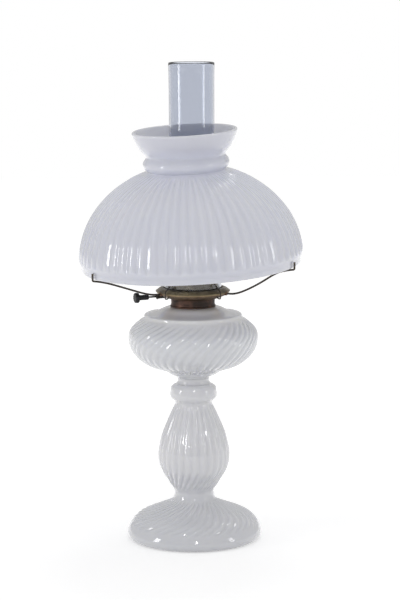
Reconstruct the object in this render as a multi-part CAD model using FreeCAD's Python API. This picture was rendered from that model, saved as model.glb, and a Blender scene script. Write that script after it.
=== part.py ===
"""Opal glass table lamp in the old oil lamp style, fitted with an electric burner.

Millimetres, +Z up. The origin is the centre of the ring that the foot stands on, and -Y is the front.
Every turned glass outline is a list of hand-chosen shares between two named radii and two named heights.
"""

import FreeCAD, Part
import math
import os

from FreeCAD import Placement, Rotation, Vector

# The foot and stem, pressed in one piece of opal glass
foot_radius = 78.5
foot_widest_height = 9.0
ground_ring_radius = 71.5
ground_ring_width = 5.5
foot_rib_edge_radius = 74.0
foot_rib_edge_height = 19.0
foot_neck_radius = 24.3
foot_neck_height = 47.0
foot_rib_count = 36
foot_rib_depth = 0.9
foot_rib_twist = 46.0
stem_neck_radius = 22.7
stem_rib_foot_height = 60.5
stem_radius = 41.4
stem_height = 160.5
stem_waist_radius = 21.3
stem_rib_count = 28
stem_rib_depth = 1.1
stem_rib_twist = 22.0
knop_radius = 27.5
knop_height = 184.0
knop_top_radius = 19.8
mould_ledge = 0.35
hollow_wall = 6.0
hollow_height = 150.0
hollow_top_radius = 7.0

# The glass wafer that joins stem and font
wafer_height = 7.0
wafer_waist_radius = 18.1

# The font, a blown reservoir with swirled ribs
font_base_radius = 19.2
font_flange_radius = 29.5
font_flange_height = 6.2
font_rib_foot_radius = 31.6
font_rib_foot_height = 8.6
font_radius = 75.2
font_rib_height = 69.5
font_rib_count = 42
font_rib_depth = 1.0
font_rib_twist = 37.0
font_top_height = 83.4
font_mouth_radius = 23.2
font_neck_height = 3.6
font_bore_radius = 19.6
font_wall = 4.0
font_floor = 13.0

# The brass collar that is cemented on the font
collar_radius = 25.4
collar_flare_radius = 26.4
collar_flare_height = 1.8
collar_height = 9.8
collar_skirt_wall = 0.8
thread_radius = 22.2
cement_gap = 0.05

# The burner body, spun from brass sheet, with a cup that hangs in the collar
seat_gap = 0.05
thread_clearance = 0.16
burner_sheet = 1.1
burner_skirt_length = 5.8
cup_radius = 18.9
cup_depth = 16.0
bowl_foot_radius = 26.6
bowl_radius = 42.4
bowl_height = 7.9

# The gallery, a dished brass plate with a well for the chimney
gallery_radius = 43.3
gallery_sheet = 1.0
gallery_crest_height = 5.0
gallery_well_radius = 34.2
gallery_well_height = 0.3
gallery_hole_radius = 18.7

# The brass cone inside the chimney
cone_radius = 29.4
cone_height = 19.0
cone_side_height = 11.0
cone_hole_radius = 18.3
cone_sheet = 0.8

# The wire springs that grip the chimney
spring_count = 4
spring_first_azimuth = 45.0
spring_wire_radius = 0.75
spring_root_radius = 37.0
spring_root_drop = 1.1
spring_eye_depth = 4.9
spring_eye_reach = 41.0
spring_edge_gap = 0.5
spring_knee_height = 2.4
spring_grip_height = 12.0
spring_grip_length = 3.0
spring_flick = 2.6
spring_flick_height = 4.5
spring_grip_gap = 0.12
spring_root_bend = 0.9
spring_heel_bend = 1.7
spring_bend = 0.7

# The three wire arms that carry the shade, and the tubes that hold them
arm_wire_radius = 1.15
arm_azimuths = {"left": -150.0, "right": -26.0, "rear": 90.0}
arm_drop = 0.55
arm_root_radius = 38.5
arm_foot_radius = 54.5
arm_foot_bend = 6.4
arm_end_length = 17.5
arm_end_rise = 2.2
arm_end_bend = 3.5
arm_hook_clearance = 1.45
arm_hook_height = 8.6
arm_hook_bend = 2.6
arm_seat_gap = 0.2
lug_radius = 2.3
lug_inner_radius = 37.4
lug_outer_radius = 43.7
fixed_fit = 0.02
wire_fit = 0.05

# The lampholder, which stands on a threaded nipple
nipple_radius = 4.8
nipple_bore_radius = 3.1
nipple_drop = 5.6
nipple_rise = 4.4
nut_width = 14.0
nut_sides = 6
nut_height = 3.2
holder_cap_radius = 17.0
holder_cap_height = 12.0
holder_sheet = 0.7
holder_rim_height = 21.0
holder_overlap = 6.0
holder_fit = 0.1
switch_body_height = 22.6
cable_space_radius = 6.4
cable_space_height = 5.6
screw_shell_radius = 13.25
screw_shell_wall = 0.4
screw_shell_height = 17.0
contact_width = 5.0
contact_length = 6.0
contact_thickness = 0.5
contact_rise = 1.6

# The switch, its shaft and its knob
switch_azimuth = -157.5
shaft_rise = 4.15
shaft_radius = 1.0
shaft_clearance = 0.06
shaft_start = 3.0
shaft_reach = 66.0
shell_hole_radius = 2.2
bushing_radius = 2.4
bushing_flange_radius = 3.3
knob_foot_radius = 55.4
knob_barrel_radius = 3.0
knob_barrel_length = 11.9
knob_head_radius = 5.8
knob_head_length = 5.0
knob_flute_count = 12
knob_flute_depth = 0.5
knob_bevel = 0.6

# The bushed outlet for the cord, level through the back of the bowl
outlet_azimuth = 112.5
outlet_rise = 3.35
outlet_radius = 3.2
outlet_bore_radius = 2.4
outlet_flange_radius = 4.0

# Both bushings start inside the bowl and end in a flange outside it
bushing_root_radius = 31.0
bushing_flange_gap = 0.3
bushing_flange = 1.2

# The bulb
bulb_contact_radius = 4.6
bulb_contact_height = 1.0
bulb_insulator_height = 1.8
bulb_insulator_radius = 9.0
bulb_cap_radius = 13.15
bulb_cap_height = 19.0
bulb_cap_sheet = 0.35
bulb_fit = 0.05
bulb_tuck = 3.0
bulb_shoulder_height = 22.0
bulb_radius = 16.0
bulb_glass_height = 84.0
bulb_glass_wall = 0.8
bulb_stem_foot_radius = 9.0
bulb_stem_radius = 3.0
bulb_stem_height = 26.0
filament_wire_radius = 0.35
filament_foot_spread = 1.6
filament_spread = 7.0
filament_rise = 9.0
filament_height = 22.0
filament_sag = 5.0

# The clear glass chimney
chimney_base_radius = 33.3
chimney_base_height = 24.0
chimney_tube_radius = 26.0
chimney_tube_start = 74.0
chimney_height = 263.5
chimney_top_radius = 26.6
chimney_top_flare = 14.0
chimney_wall = 1.9

# The opal shade, blown with upright ribs, and the lean that its arms give it
fitter_radius = 127.0
fitter_height = 5.8
fitter_lip = 2.5
shade_wall = 3.0
shade_band_height = 15.0
dome_swell = 2.7
dome_rise = 110.5
dome_centre_height = 8.0
dome_top_height = 109.4
shade_rib_count = 64
shade_rib_depth = 1.1
bead_radius = 49.9
bead_foot_radius = 46.0
bead_foot_height = 112.4
bead_head_height = 126.6
bead_head_radius = 45.6
shade_neck_radius = 42.3
crown_radius = 60.7
crown_lip = 2.4
shade_height = 157.5
shade_centre_offset = 1.3
shade_rim_height = 322.1
shade_lean_left = 2.6
shade_lean_front = 2.7

# One overrun for every cut
overrun = 4.0

up = Vector(0, 0, 1)
centre = Vector(0, 0, 0)

# Shares of the rise of each outline, with the share of the way between its two radii
foot_side_shares = [(0.0, 0.0), (0.33, 0.78), (1.0, 1.0)]
foot_rim_shares = [(0.35, 0.82), (1.0, 0.0)]
foot_rib_shares = [(0.0, 1.0), (0.2, 0.92), (0.45, 0.685), (0.65, 0.395), (0.85, 0.12), (1.0, 0.0)]
stem_rib_shares = [
    (0.0, 0.125), (0.06, 0.365), (0.15, 0.65), (0.26, 0.9), (0.38, 1.0), (0.54, 0.92), (0.75, 0.57),
    (1.0, 0.01),
]
knop_shares = [(0.1, 0.2), (0.26, 0.8), (0.4, 1.0), (0.8, 0.87), (1.0, 0.0)]
font_rib_shares = [
    (0.0, 0.0), (0.105, 0.425), (0.22, 0.69), (0.39, 0.91), (0.6, 1.0), (0.78, 0.96), (0.89, 0.83),
    (1.0, 0.611),
]
font_top_shares = [(0.0, 1.0), (0.32, 0.93), (0.45, 0.79), (0.62, 0.49), (1.0, 0.15)]
font_hollow_shares = [
    (0.0, 0.3), (0.2, 0.82), (0.5, 1.0), (0.7, 0.92), (0.8, 0.74), (0.94, 0.33), (1.0, 0.0),
]
bowl_bow_shares = (0.4, 0.6)
gallery_bow_shares = (0.85, 0.6)
cone_bow_shares = (0.7, 0.4)
chimney_shoulder_shares = [(0.0, 1.0), (0.35, 0.76), (0.7, 0.18), (1.0, 0.0)]
dome_shares = [0.0, 0.06, 0.3, 0.54, 0.78, 1.0]
dome_hollow_shares = [0.0, 0.27, 0.54, 0.77, 1.0]
bead_shares = [(0.0, 0.0), (0.25, 0.9), (0.75, 0.9), (1.0, 0.0)]
crown_shares = [(0.0, 0.0), (0.22, 0.31), (0.55, 0.72), (1.0, 1.0)]
crown_hollow_shares = [(0.0, 0.0), (0.4, 0.55), (1.0, 1.0)]
bulb_end_shares = [0.0, 0.36, 0.7, 1.0]
rib_crest_share = 0.5
gallery_corner_share = 0.24
font_twist_power = 2.2
stem_twist_share = 0.3
hollow_bend_share = 0.3
neck_bend_share = 0.5

# Sides of the pieces that are turned in flats, which keeps their meshes light
foot_sides = 32
stem_sides = 20
font_sides = 24
shade_sides = 32
hollow_sides = 24
brass_sides = 28
cone_sides = 24
chimney_sides = 28
holder_sides = 16
bushing_sides = 12
wire_sides = 8
spring_sides = 6


def between(first, last, share):
    return first + (last - first) * share


def point(radius, height):
    """A point of an outline, in the plane of X and Z."""
    return Vector(radius, 0, height)


def outline_points(shares, low, high, inner, outer):
    """The points that a table of shares marks between two heights and two radii."""
    return [point(between(inner, outer, across), between(low, high, rise)) for rise, across in shares]


def tube_outline(inner, outer, low, high):
    """The outline of a plain ring about the lamp's axis."""
    return [point(inner, low), point(outer, low), point(outer, high), point(inner, high)]


def closed_solid(outlines):
    """The solid that flat faces close, from the corners of each."""
    faces = [Part.Face(Part.makePolygon(corners + [corners[0]])) for corners in outlines]
    shell = Part.makeShell(faces)
    shell.sewShape()
    solid = Part.makeSolid(shell)
    if solid.Volume < 0:
        solid.reverse()
    return solid


def corner_reach(radius, sides):
    """How far the corners of a piece in flats reach, when its flats touch a circle."""
    return radius / math.cos(math.pi / sides)


def turned_flats(corners, sides):
    """A closed outline turned about the lamp's axis in flats, whose middles lie on the true circle."""
    outlines = []
    for index, first in enumerate(corners):
        last = corners[(index + 1) % len(corners)]
        if first.x == last.x == 0:
            continue
        for number in range(sides):
            a, b = (360.0 * step / sides for step in (number, number + 1))
            near, far = corner_reach(first.x, sides), corner_reach(last.x, sides)
            quad = [spoke(a, near, first.z), spoke(b, near, first.z)]
            quad += [spoke(b, far, last.z), spoke(a, far, last.z)]
            if first.x == 0:
                quad.pop(0)
            if last.x == 0:
                quad.pop()
            outlines.append(quad)
    return closed_solid(outlines)


def skin(rings):
    """The solid between closed rings of points, as triangles with flat ends."""
    outlines = [rings[0], rings[-1]]
    for low, high in zip(rings, rings[1:]):
        for index in range(len(low)):
            after = (index + 1) % len(low)
            a, b, c, d = low[index], low[after], high[after], high[index]
            if a.distanceToPoint(c) < b.distanceToPoint(d):
                outlines += [[a, b, c], [a, c, d]]
            else:
                outlines += [[a, b, d], [b, c, d]]
    return closed_solid(outlines)


def rib_section(height, radius, depth, turn, count):
    """One level of a ribbed wall: a groove and a crest for each rib."""
    pitch = 360.0 / count
    corners = []
    for number in range(count):
        start = number * pitch + turn
        corners.append(spoke(start, radius - depth, height))
        corners.append(spoke(start + pitch * rib_crest_share, radius, height))
    return corners


def ribbed(levels, count):
    """The solid between ribbed sections, from a list of height, radius, depth and turn."""
    return skin([rib_section(*level, count) for level in levels])


def slope_stretch(points, index):
    """How much deeper a groove is measured level than square to the wall."""
    low = points[max(index - 1, 0)]
    high = points[min(index + 1, len(points) - 1)]
    return math.hypot(high.x - low.x, high.z - low.z) / (high.z - low.z)


def rib_levels(points, depth, turns):
    """Sections of one depth square to the wall, which fades out at both ends."""
    last = len(points) - 1
    levels = []
    for index, place in enumerate(points):
        full = 0.0 if index in (0, last) else depth * slope_stretch(points, index)
        levels.append((place.z, place.x, full, turns[index]))
    return levels


def spoke(azimuth, radius, height):
    """A point at an azimuth, a distance from the axis and a height."""
    angle = math.radians(azimuth)
    return Vector(radius * math.cos(angle), radius * math.sin(angle), height)


def rod(azimuth, inner, outer, radius, height):
    """A round bar that points away from the axis."""
    start = spoke(azimuth, inner, height)
    return Part.makeCylinder(radius, outer - inner, start, spoke(azimuth, 1, 0))


def flat_rod(azimuth, inner, outer, radius, height, sides=wire_sides):
    """A bar in flats that points away from the axis."""
    ends = [spoke(azimuth, away, height) for away in (inner, outer)]
    return bent_wire(ends, radius, spoke(azimuth + 90, 1, 0), sides)


def rounded(points, bends):
    """A line of points whose inner corners are cut twice, from the length of each bend to its corner."""
    line = [points[0]]
    for index, cut in enumerate(bends):
        corner = points[index + 1]
        back = (points[index] - corner).normalize()
        ahead = (points[index + 2] - corner).normalize()
        half = back.getAngle(ahead) / 2
        reach = cut * math.tan(half)
        middle = (back + ahead).normalize() * (reach / math.sin(half) - reach)
        line += [corner + back * cut, corner + middle, corner + ahead * cut]
    return line + [points[-1]]


def bent_wire(points, radius, across, sides=wire_sides):
    """Wire in flats along a line of points in one upright plane, mitred at each."""
    rings = []
    for index, place in enumerate(points):
        back = place - points[max(index - 1, 0)]
        ahead = points[min(index + 1, len(points) - 1)] - place
        runs = [run.normalize() for run in (back, ahead) if run.Length > 0]
        along = (runs[0] + runs[-1]).normalize()
        stretch = 1 / along.dot(runs[0])
        lift = across.cross(along) * (radius * stretch)
        ring = []
        for number in range(sides):
            angle = 2 * math.pi * (number + rib_crest_share) / sides
            ring.append(place + across * (radius * math.cos(angle)) + lift * math.sin(angle))
        rings.append(ring)
    return skin(rings)


def foot():
    """The foot: a turned rim, and a tread with swirled ribs up to the neck."""
    ledge = foot_rib_edge_radius + mould_ledge
    side = outline_points(foot_side_shares, 0, foot_widest_height, ground_ring_radius, foot_radius)
    side += outline_points(foot_rim_shares, foot_widest_height, foot_rib_edge_height, ledge, foot_radius)
    rim = turned_flats([centre] + side + [point(0, foot_rib_edge_height)], foot_sides)
    tread = outline_points(
        foot_rib_shares, foot_rib_edge_height, foot_neck_height, foot_neck_radius, foot_rib_edge_radius
    )
    turns = [foot_rib_twist * rise for rise, across in foot_rib_shares]
    levels = rib_levels(tread, foot_rib_depth, turns)
    return rim.fuse(ribbed(levels, foot_rib_count))


def stem():
    """The neck above the foot, and the pear with its ribs."""
    foot_height = stem_rib_foot_height
    pear = outline_points(stem_rib_shares, foot_height, stem_height, stem_waist_radius, stem_radius)
    low = point(foot_neck_radius + mould_ledge, foot_neck_height)
    high = point(pear[0].x + mould_ledge, foot_height)
    waist = point(stem_neck_radius, between(foot_neck_height, foot_height, neck_bend_share))
    neck = turned_flats([point(0, low.z), low, waist, high, point(0, high.z)], stem_sides)
    turns = [
        stem_rib_twist * (1 - max(1 - rise / stem_twist_share, 0) ** 2) for rise, across in stem_rib_shares
    ]
    return neck.fuse(ribbed(rib_levels(pear, stem_rib_depth, turns), stem_rib_count))


def knop():
    """The plain knop at the top of the stem."""
    side = outline_points(knop_shares, stem_height, knop_height, knop_top_radius, knop_radius)
    waist = point(stem_waist_radius + mould_ledge, stem_height)
    return turned_flats([point(0, stem_height), waist] + side + [point(0, knop_height)], stem_sides)


def pedestal():
    """Foot, stem and knop in one piece, hollow from below as such pressings are."""
    mouth = ground_ring_radius - ground_ring_width
    bend = between(foot_neck_radius, foot_rib_edge_radius, hollow_bend_share)
    corners = [
        point(0, -overrun),
        point(mouth, -overrun),
        point(mouth, 0),
        point(foot_rib_edge_radius - 2 * hollow_wall, foot_rib_edge_height - hollow_wall),
        point(bend, foot_neck_height - 2 * hollow_wall),
        point(foot_neck_radius - hollow_wall, foot_neck_height),
        point(hollow_top_radius, hollow_height),
        point(0, hollow_height),
    ]
    return foot().fuse([stem(), knop()]).cut(turned_flats(corners, stem_sides))


def joining_wafer():
    low = knop_height
    high = knop_height + wafer_height
    waist = point(wafer_waist_radius, between(low, high, neck_bend_share))
    side = [point(knop_top_radius, low), waist, point(font_base_radius, high)]
    return turned_flats([point(0, low)] + side + [point(0, high)], stem_sides)


font_foot = knop_height + wafer_height
font_top = font_foot + font_top_height
neck_top = font_top + font_neck_height


def font_base():
    flange = point(font_flange_radius, font_foot + font_flange_height)
    top = point(font_rib_foot_radius - mould_ledge, font_foot + font_rib_foot_height)
    bend = point(
        between(font_base_radius, font_flange_radius, hollow_bend_share),
        between(font_foot, flange.z, neck_bend_share),
    )
    base = [point(0, font_foot), point(font_base_radius, font_foot), bend]
    return turned_flats(base + [flange, top, point(0, top.z)], font_sides)


def font():
    low = font_foot + font_rib_foot_height
    high = font_foot + font_rib_height
    bowl = outline_points(font_rib_shares, low, high, font_rib_foot_radius, font_radius)
    turns = [font_rib_twist * rise**font_twist_power for rise, across in font_rib_shares]
    body = ribbed(rib_levels(bowl, font_rib_depth, turns), font_rib_count)

    top = outline_points(font_top_shares, high, font_top, font_mouth_radius, bowl[-1].x + mould_ledge)
    mouth = [point(font_mouth_radius, font_top), point(font_mouth_radius, neck_top), point(0, neck_top)]
    shoulder = turned_flats([point(0, high)] + top + mouth, font_sides)

    widest = font_radius - font_wall
    inside = outline_points(
        font_hollow_shares, font_foot + font_floor, font_top - font_wall, font_bore_radius, widest
    )
    bore = [point(font_bore_radius, neck_top + overrun), point(0, neck_top + overrun)]
    hollow = turned_flats([point(0, inside[0].z)] + inside + bore, font_sides)
    return font_base().fuse([body, shoulder]).cut(hollow)


collar_foot = font_top + cement_gap
collar_top = font_top + collar_height
collar_bore = collar_radius - collar_skirt_wall


def collar_cement():
    inner = corner_reach(font_mouth_radius, font_sides) + cement_gap
    return turned_flats(tube_outline(inner, collar_bore - cement_gap, collar_foot, neck_top), brass_sides)


def font_collar():
    corners = [
        point(collar_bore, collar_foot),
        point(collar_flare_radius, collar_foot),
        point(collar_radius, font_top + collar_flare_height),
        point(collar_radius, collar_top),
        point(thread_radius, collar_top),
        point(thread_radius, neck_top + cement_gap),
        point(collar_bore, neck_top + cement_gap),
    ]
    return turned_flats(corners, brass_sides)


bowl_foot = collar_top + seat_gap
shaft_height = bowl_foot + shaft_rise
outlet_height = bowl_foot + outlet_rise
bowl_rim = bowl_foot + bowl_height
cup_floor = bowl_foot - cup_depth
gallery_rim = bowl_rim + seat_gap
well_floor = gallery_rim + gallery_well_height
lug_end = gallery_radius + overrun
bushing_flange_start = corner_reach(gallery_radius, brass_sides) + bushing_flange_gap


def bowl_side(inward, lift):
    """The bowl's side, moved in and up by its sheet."""
    rise, across = bowl_bow_shares
    low = point(bowl_foot_radius - inward, bowl_foot + lift)
    bow = between(bowl_foot_radius, bowl_radius, across)
    middle = point(bow - inward, between(bowl_foot, bowl_rim, rise) + lift)
    return [low, middle, point(bowl_radius - inward, bowl_rim)]


def lug_holes():
    """The holes for the three tubes that hold the arms."""
    return [flat_rod(a, lug_inner_radius, lug_end, lug_radius + fixed_fit, lug_height) for a in arm_list]


def burner_body():
    """The threaded skirt, the cup that hangs in it, and the bowl above."""
    skirt = thread_radius - thread_clearance
    skirt_foot = bowl_foot - burner_skirt_length
    floor = bowl_foot + burner_sheet
    cup_inside = cup_radius - burner_sheet
    nipple_hole = corner_reach(nipple_radius, holder_sides) + wire_fit
    cup = [
        point(cup_inside, floor),
        point(cup_inside, cup_floor + burner_sheet),
        point(nipple_hole, cup_floor + burner_sheet),
        point(nipple_hole, cup_floor),
        point(cup_radius, cup_floor),
        point(cup_radius, bowl_foot),
    ]
    body = turned_flats(cup + bowl_side(0, 0) + bowl_side(burner_sheet, burner_sheet)[::-1], brass_sides)
    half = burner_sheet / 2
    sleeve = tube_outline(cup_inside + half, skirt, skirt_foot, bowl_foot + half)
    body = body.fuse(turned_flats(sleeve, brass_sides))
    holes = lug_holes() + [spring_root(a, spring_wire_radius + wire_fit) for a in spring_azimuths]
    bushed = [(switch_azimuth, bushing_radius, shaft_height)]
    bushed.append((outlet_azimuth, outlet_radius, outlet_height))
    for azimuth, radius, height in bushed:
        wide = radius + fixed_fit
        holes.append(flat_rod(azimuth, bushing_root_radius, gallery_radius, wide, height, bushing_sides))
    return body.cut(holes)


def chimney_gallery():
    low = gallery_rim
    sheet = gallery_sheet
    crest = low + gallery_crest_height
    rise, across = gallery_bow_shares
    bow = point(between(gallery_well_radius, gallery_radius, across), between(low + sheet, crest, rise))
    plate = turned_flats(
        [
            point(gallery_well_radius, crest),
            bow,
            point(gallery_radius, low + sheet),
            point(gallery_radius, low),
            point(gallery_radius - sheet, low),
            point(bow.x - sheet * gallery_corner_share, bow.z - sheet),
            point(gallery_well_radius + sheet, crest - sheet),
            point(gallery_well_radius + sheet, well_floor - sheet),
            point(gallery_hole_radius, well_floor - sheet),
            point(gallery_hole_radius, well_floor),
            point(gallery_well_radius, well_floor),
        ],
        brass_sides,
    )
    return plate.cut(lug_holes())


def burner_cone():
    low = well_floor + seat_gap
    rise, across = cone_bow_shares
    side = point(cone_radius, low + cone_side_height)
    top = point(cone_hole_radius, low + cone_height)
    bow = point(between(cone_radius, cone_hole_radius, across), between(side.z, top.z, rise))
    sheet = Vector(cone_sheet, 0, 0)
    drop = Vector(0, 0, cone_sheet)
    base = point(cone_radius, low)
    corners = [base, side, bow, top, top - drop, bow - sheet - drop, side - sheet, base - sheet]
    return turned_flats(corners, cone_sides)


spring_azimuths = [spring_first_azimuth + 360.0 / spring_count * number for number in range(spring_count)]
arm_list = list(arm_azimuths.values())
lug_height = bowl_rim - arm_drop
chimney_foot = well_floor + seat_gap


def spring_corners(azimuth):
    edge = gallery_radius + spring_edge_gap + spring_wire_radius
    grip = chimney_base_radius + spring_grip_gap + spring_wire_radius
    low = bowl_rim - spring_eye_depth
    hold = chimney_foot + spring_grip_height
    corners = [
        (spring_root_radius, bowl_rim - spring_root_drop),
        (spring_eye_reach, low),
        (edge, low),
        (edge, gallery_rim + spring_knee_height),
        (grip, hold),
        (grip, hold + spring_grip_length),
        (grip + spring_flick, hold + spring_grip_length + spring_flick_height),
    ]
    return [spoke(azimuth, radius, height) for radius, height in corners]


def spring_root(azimuth, radius):
    """The straight root of a spring, where it passes through the bowl."""
    return bent_wire(spring_corners(azimuth)[:2], radius, spoke(azimuth + 90, 1, 0), spring_sides)


def chimney_spring(azimuth):
    bends = [spring_root_bend, spring_heel_bend, spring_bend, spring_bend, spring_bend]
    line = rounded(spring_corners(azimuth), bends)
    return bent_wire(line, spring_wire_radius, spoke(azimuth + 90, 1, 0), spring_sides)


shade_place = Placement(
    Vector(-shade_centre_offset, 0, shade_rim_height),
    Rotation(Vector(0, 1, 0), -shade_lean_left) * Rotation(Vector(1, 0, 0), shade_lean_front),
)


def rim_height(azimuth, radius):
    """The height of the leaned rim of the shade, straight above a point."""
    normal = shade_place.Rotation.multVec(up)
    away = spoke(azimuth, radius, 0) + Vector(shade_centre_offset, 0, 0)
    return shade_rim_height - (normal.x * away.x + normal.y * away.y) / normal.z


def shade_arm(azimuth):
    """Wire that runs out from its tube, rises to the rim and ends in an upright hook."""
    sideways = shade_centre_offset * math.cos(math.radians(azimuth))
    hook = fitter_radius + arm_hook_clearance + arm_wire_radius - sideways
    seat = fitter_radius - fitter_lip / 2 - sideways
    slope = arm_end_rise / arm_end_length
    wire = arm_wire_radius * math.hypot(1, slope)
    level = rim_height(azimuth, seat) - arm_seat_gap - wire + slope * (hook - seat)
    corners = [
        (arm_root_radius, lug_height),
        (arm_foot_radius, lug_height),
        (hook - arm_end_length, level - arm_end_rise),
        (hook, level),
        (hook, level + arm_hook_height),
    ]
    points = [spoke(azimuth, radius, height) for radius, height in corners]
    bends = [arm_foot_bend, arm_end_bend, arm_hook_bend]
    return bent_wire(rounded(points, bends), arm_wire_radius, spoke(azimuth + 90, 1, 0))


def arm_lug(azimuth):
    """A tube in flats that grips the root of an arm."""
    tube = flat_rod(azimuth, lug_inner_radius, lug_outer_radius, lug_radius, lug_height)
    return tube.cut(flat_rod(azimuth, 0, lug_end, arm_wire_radius + wire_fit, lug_height))


def level_turned(azimuth, height, levels, sides, depth=0):
    """A level solid in flats, from distances and radii, with flutes of a depth where it is widest."""
    along = spoke(azimuth, 1, 0)
    across = spoke(azimuth + 90, 1, 0)
    widest = max(radius for away, radius in levels)
    rings = []
    for away, radius in levels:
        place = along * away + up * height
        ring = []
        for number in range(sides):
            angle = 2 * math.pi * (number + rib_crest_share) / sides
            reach = radius - (depth if number % 2 == 0 and radius > widest - depth else 0)
            ring.append(place + across * (reach * math.cos(angle)) + up * (reach * math.sin(angle)))
        rings.append(ring)
    return skin(rings)


def bushing(azimuth, height, radius, flange_radius, bore):
    """A bushing that passes level through the bowl's side."""
    levels = [
        (bushing_root_radius, radius),
        (bushing_flange_start, radius),
        (bushing_flange_start, flange_radius),
        (bushing_flange_start + bushing_flange, flange_radius),
    ]
    body = level_turned(azimuth, height, levels, bushing_sides)
    return body.cut(rod(azimuth, 0, gallery_radius + overrun, bore, height))


def cord_bushing():
    return bushing(outlet_azimuth, outlet_height, outlet_radius, outlet_flange_radius, outlet_bore_radius)


def shaft_bushing():
    bore = shaft_radius + shaft_clearance
    return bushing(switch_azimuth, shaft_height, bushing_radius, bushing_flange_radius, bore)


holder_foot = cup_floor + burner_sheet + seat_gap
holder_floor = holder_foot + holder_sheet
body_foot = holder_floor + seat_gap
body_top = body_foot + switch_body_height
shell_outside = holder_cap_radius - holder_sheet - holder_fit
shell_inside = shell_outside - holder_sheet
shell_foot = holder_foot + holder_cap_height - holder_overlap
shell_top = body_top + holder_rim_height


def mounting_nipple():
    low = cup_floor - nipple_drop
    high = holder_floor + nipple_rise
    return turned_flats(tube_outline(nipple_bore_radius, nipple_radius, low, high), holder_sides)


def nipple_nut():
    low = cup_floor - seat_gap - nut_height
    high = low + nut_height
    outside = turned_flats(tube_outline(0, nut_width / 2, low, high), nut_sides)
    hole = tube_outline(0, nipple_radius + wire_fit, low - overrun, high + overrun)
    return outside.cut(turned_flats(hole, holder_sides))


def socket_cap():
    inside = holder_cap_radius - holder_sheet
    top = holder_foot + holder_cap_height
    corners = [
        point(nipple_radius + wire_fit, holder_foot),
        point(inside, holder_foot),
        point(holder_cap_radius, holder_floor),
        point(holder_cap_radius, top),
        point(inside, top),
        point(inside, holder_floor),
        point(nipple_radius + wire_fit, holder_floor),
    ]
    return turned_flats(corners, holder_sides)


def socket_shell():
    wall = turned_flats(tube_outline(shell_inside, shell_outside, shell_foot, shell_top), holder_sides)
    return wall.cut(rod(switch_azimuth, 0, holder_cap_radius + overrun, shell_hole_radius, shaft_height))


def socket_body():
    """The solid insulator of the switch, with room for the cable and a bore for the shaft."""
    inner = cable_space_radius
    space = body_foot + cable_space_height
    outer = shell_inside - holder_fit
    corners = [point(inner, body_foot), point(outer, body_foot), point(outer, body_top), point(0, body_top)]
    block = turned_flats(corners + [point(0, space), point(inner, space)], holder_sides)
    start = shaft_start - shaft_clearance
    bore = shaft_radius + shaft_clearance
    return block.cut(rod(switch_azimuth, start, outer + overrun, bore, shaft_height))


def screw_shell():
    low = body_top + seat_gap
    high = low + screw_shell_height
    outside = screw_shell_radius + screw_shell_wall
    return turned_flats(tube_outline(screw_shell_radius, outside, low, high), holder_sides)


def centre_contact():
    """A brass tongue that springs up from the switch body."""
    low = body_top + seat_gap
    thick = contact_thickness
    half = contact_length / 2
    raised = low + contact_rise
    corners = [
        Vector(-half, 0, low),
        Vector(half, 0, low),
        Vector(half, 0, raised),
        Vector(-half, 0, raised),
        Vector(-half, 0, raised - thick),
        Vector(half - thick, 0, raised - thick),
        Vector(half - thick, 0, low + thick),
        Vector(-half, 0, low + thick),
    ]
    tongue = Part.Face(Part.makePolygon(corners + [corners[0]])).extrude(Vector(0, contact_width, 0))
    tongue.translate(Vector(0, -contact_width / 2, 0))
    return tongue


def switch_shaft():
    return rod(switch_azimuth, shaft_start, shaft_reach, shaft_radius, shaft_height)


def switch_knob():
    """A slim barrel with a fluted, bevelled head."""
    neck = knob_foot_radius + knob_barrel_length
    end = neck + knob_head_length
    levels = [
        (knob_foot_radius, knob_barrel_radius),
        (neck, knob_barrel_radius),
        (neck, knob_head_radius - knob_bevel),
        (neck + knob_bevel, knob_head_radius),
        (end - knob_bevel, knob_head_radius),
        (end, knob_head_radius - knob_bevel),
    ]
    knob = level_turned(switch_azimuth, shaft_height, levels, 2 * knob_flute_count, knob_flute_depth)
    return knob.cut(rod(switch_azimuth, 0, shaft_reach + wire_fit, shaft_radius + fixed_fit, shaft_height))


bulb_foot = body_top + seat_gap + contact_rise + seat_gap
bulb_skirt = bulb_foot + bulb_contact_height + bulb_insulator_height
bulb_cap_top = bulb_skirt + bulb_cap_height
glass_foot = bulb_cap_top - bulb_tuck
glass_foot_radius = bulb_cap_radius - bulb_cap_sheet - bulb_fit
glass_end = glass_foot + bulb_glass_height


def bulb_cap():
    """The screw cap with its contact, hollow at the top for the foot of the glass."""
    inside = bulb_cap_radius - bulb_cap_sheet
    corners = [
        point(0, bulb_foot),
        point(bulb_contact_radius, bulb_foot),
        point(bulb_insulator_radius, bulb_skirt),
        point(bulb_cap_radius, bulb_skirt + bulb_insulator_height),
        point(bulb_cap_radius, bulb_cap_top),
        point(inside, bulb_cap_top),
        point(inside, glass_foot - bulb_fit),
        point(0, glass_foot - bulb_fit),
    ]
    return turned_flats(corners, holder_sides)


def bulb_glass():
    """A tubular bulb: neck, shoulder, tube and a round end."""
    shoulder = glass_foot + bulb_tuck + bulb_shoulder_height
    corners = []
    for inward in (0, bulb_glass_wall):
        neck = glass_foot_radius - inward
        wide = bulb_radius - inward
        side = [point(neck, glass_foot), point(neck, glass_foot + bulb_tuck), point(wide, shoulder)]
        for share in bulb_end_shares:
            slant = share * math.pi / 2
            across = wide * math.cos(slant) if share < 1 else 0
            side.append(point(across, glass_end - bulb_radius + wide * math.sin(slant)))
        corners += side if inward == 0 else side[::-1]
    return turned_flats(corners, holder_sides)


stem_foot = glass_foot
stem_top = glass_foot + bulb_stem_height


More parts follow.
